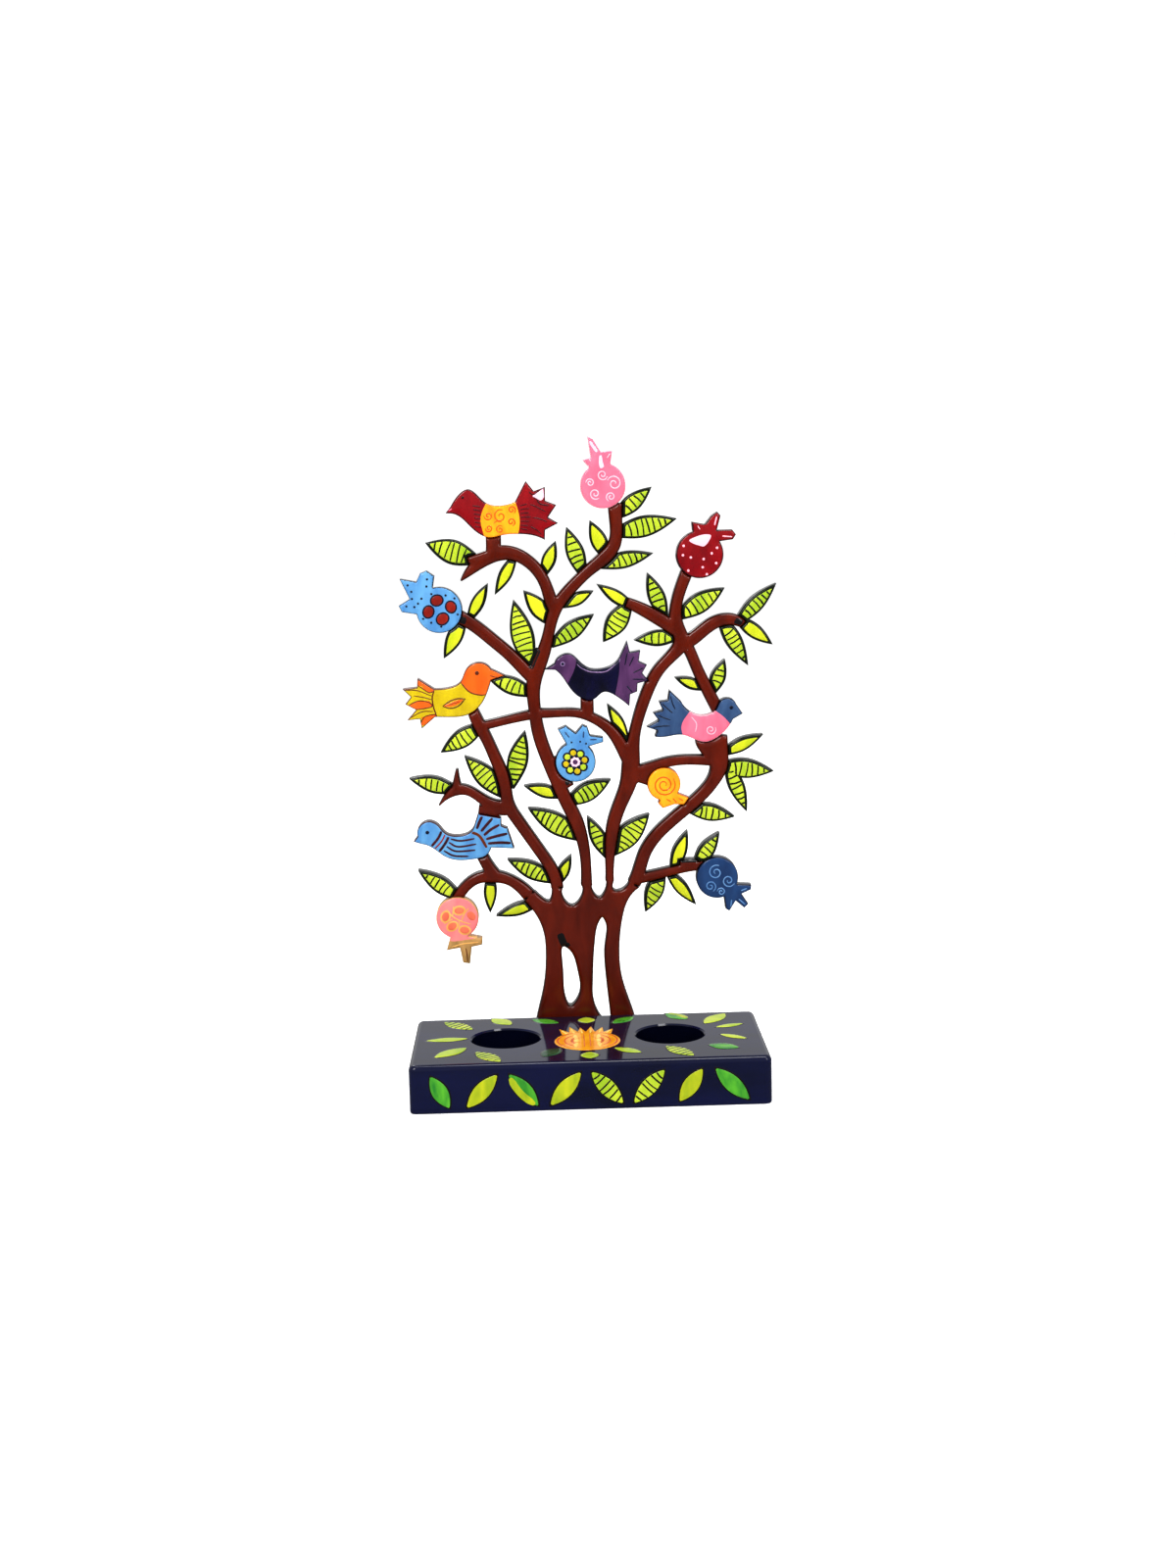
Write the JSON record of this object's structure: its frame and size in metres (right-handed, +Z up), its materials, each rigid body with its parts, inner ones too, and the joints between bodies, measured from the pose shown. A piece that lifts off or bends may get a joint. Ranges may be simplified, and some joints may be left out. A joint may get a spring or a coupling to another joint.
{
  "type": "tree candle holder",
  "caption": "Painted fretwork pomegranate tree with birds, leaves and fruit, standing at the back of a lacquered block with sockets for table candles.",
  "frame": {"origin": "centre of the base block's underside, on the surface it stands on", "axes": "+Z up; X along the block's length; -Y towards the viewer, with the tree on the +Y (back) face of the block"},
  "size_m": [0.1392, 0.0665, 0.2342],
  "materials": {
    "base_lacquer": "glossy dark blue lacquer on wood",
    "branch_enamel": "glossy red-brown enamel on wood",
    "leaf_paint": "glossy lime and yellow paint with black edges on wood",
    "bird_crimson": "glossy crimson paint, orange body, on wood",
    "bird_yellow": "glossy yellow and orange paint on wood",
    "bird_purple": "glossy purple and near-black paint on wood",
    "bird_navy": "glossy slate blue paint, pink body, on wood",
    "bird_light_blue": "glossy light blue paint with dark stripes on wood",
    "fruit_pink": "glossy pink paint on wood",
    "fruit_red": "glossy deep red paint with white dots on wood",
    "fruit_light_blue": "glossy light blue paint on wood",
    "fruit_orange": "glossy orange paint on wood",
    "fruit_coral": "glossy coral paint with a tan crown on wood",
    "fruit_navy": "glossy slate blue paint on wood",
    "steel": "bright drawn steel"
  },
  "bodies": {
    "root": {"base_block": "base_lacquer", "trunk": "branch_enamel", "bough_left_main": "branch_enamel", "bough_left_inner": "branch_enamel", "bough_lower_left": "branch_enamel", "bough_right_main": "branch_enamel", "bough_outer": "branch_enamel", "bough_spotted_fruit": "branch_enamel", "bough_red_bird": "branch_enamel", "bough_lower_right": "branch_enamel", "bough_right_west": "branch_enamel", "bough_right_east": "branch_enamel", "bough_navy_bird": "branch_enamel", "rung_left": "branch_enamel", "rung_right": "branch_enamel", "rung_outer": "branch_enamel", "red_bird": "bird_crimson", "yellow_bird": "bird_yellow", "purple_bird": "bird_purple", "navy_bird": "bird_navy", "striped_bird": "bird_light_blue", "pomegranate_pink": "fruit_pink", "pomegranate_red": "fruit_red", "pomegranate_spotted": "fruit_light_blue", "pomegranate_flower": "fruit_light_blue", "pomegranate_orange": "fruit_orange", "pomegranate_coral": "fruit_coral", "pomegranate_navy": "fruit_navy", "leaves_red_bird": "leaf_paint", "leaves_spotted_fruit": "leaf_paint", "leaves_pink_fruit": "leaf_paint", "leaves_right_west": "leaf_paint", "leaves_right_crown": "leaf_paint", "leaves_right_east": "leaf_paint", "leaves_navy_bird": "leaf_paint", "leaves_left_main": "leaf_paint", "leaves_left_inner": "leaf_paint", "leaves_lower_left": "leaf_paint", "leaves_right_main": "leaf_paint", "leaves_outer": "leaf_paint", "leaves_lower_right": "leaf_paint", "joint_pins": "steel", "foot_screws": "steel"}
  },
  "joints": []
}
